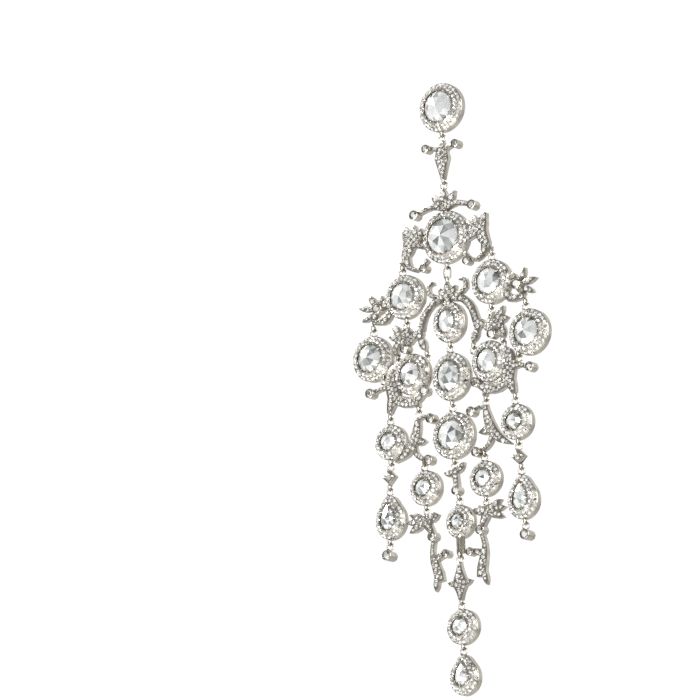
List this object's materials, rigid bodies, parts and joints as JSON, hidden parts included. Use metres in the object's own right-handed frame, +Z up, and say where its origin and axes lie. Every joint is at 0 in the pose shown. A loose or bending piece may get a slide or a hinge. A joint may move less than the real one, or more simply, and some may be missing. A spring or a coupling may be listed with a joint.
{
  "type": "chandelier earring",
  "caption": "Long chandelier earring of paved scrolls, rose-cut clusters and pear drops that hang from a round stud.",
  "frame": {"origin": "centre of the stud's back face, where the ear post starts", "axes": "+Z up as the earring hangs, front towards -Y, +X to the right seen from the front"},
  "size_m": [0.044, 0.0094, 0.1199],
  "materials": {
    "white_gold": "polished",
    "diamond": "gloss"
  },
  "bodies": {
    "stud": {"ear_post": "white_gold", "stud_setting": "white_gold", "stud_stone": "diamond"},
    "fleur": {"fleur_link": "white_gold"},
    "chandelier": {"top_frame": "white_gold", "top_stone": "diamond", "center_ring": "white_gold", "garland_frame": "white_gold", "garland_stone": "diamond", "heart_setting": "white_gold", "heart_stone": "diamond", "middle_setting": "white_gold", "middle_stone": "diamond", "leaf_link": "white_gold", "small_setting": "white_gold", "small_stone": "diamond", "right_upper_setting": "white_gold", "right_upper_stone": "diamond", "right_outer_setting": "white_gold", "right_outer_stone": "diamond", "right_lower_frame": "white_gold", "right_inner_stone": "diamond", "right_drop_setting": "white_gold", "right_drop_stone": "diamond", "right_square_link": "white_gold", "right_pear_setting": "white_gold", "right_pear_stone": "diamond", "right_tip_bezel": "white_gold", "right_s_scroll": "white_gold", "right_inner_drop_setting": "white_gold", "right_inner_drop_stone": "diamond", "right_ribbon_bow": "white_gold", "left_upper_setting": "white_gold", "left_upper_stone": "diamond", "left_outer_setting": "white_gold", "left_outer_stone": "diamond", "left_lower_frame": "white_gold", "left_inner_stone": "diamond", "left_drop_setting": "white_gold", "left_drop_stone": "diamond", "left_square_link": "white_gold", "left_pear_setting": "white_gold", "left_pear_stone": "diamond", "left_tip_bezel": "white_gold", "left_s_scroll": "white_gold", "left_inner_drop_setting": "white_gold", "left_inner_drop_stone": "diamond", "left_ribbon_bow": "white_gold"},
    "pendant": {"lily_link": "white_gold", "lower_drop_setting": "white_gold", "lower_drop_stone": "diamond", "lower_pear_setting": "white_gold", "lower_pear_stone": "diamond"}
  },
  "joints": [
    {"name": "fleur_swing", "type": "hinge", "parent": "stud", "child": "fleur", "pos_m": [0, -0.0012, -0.0054], "axis": [1, 0, 0], "range_deg": [-35, 35]},
    {"name": "chandelier_sway", "type": "hinge", "parent": "fleur", "child": "chandelier", "pos_m": [0, -0.0012, -0.0153], "axis": [0, 1, 0], "range_deg": [-25, 25]},
    {"name": "pendant_swing", "type": "hinge", "parent": "chandelier", "child": "pendant", "pos_m": [0.0004, -0.0012, -0.0882], "axis": [1, 0, 0], "range_deg": [-30, 30]}
  ]
}
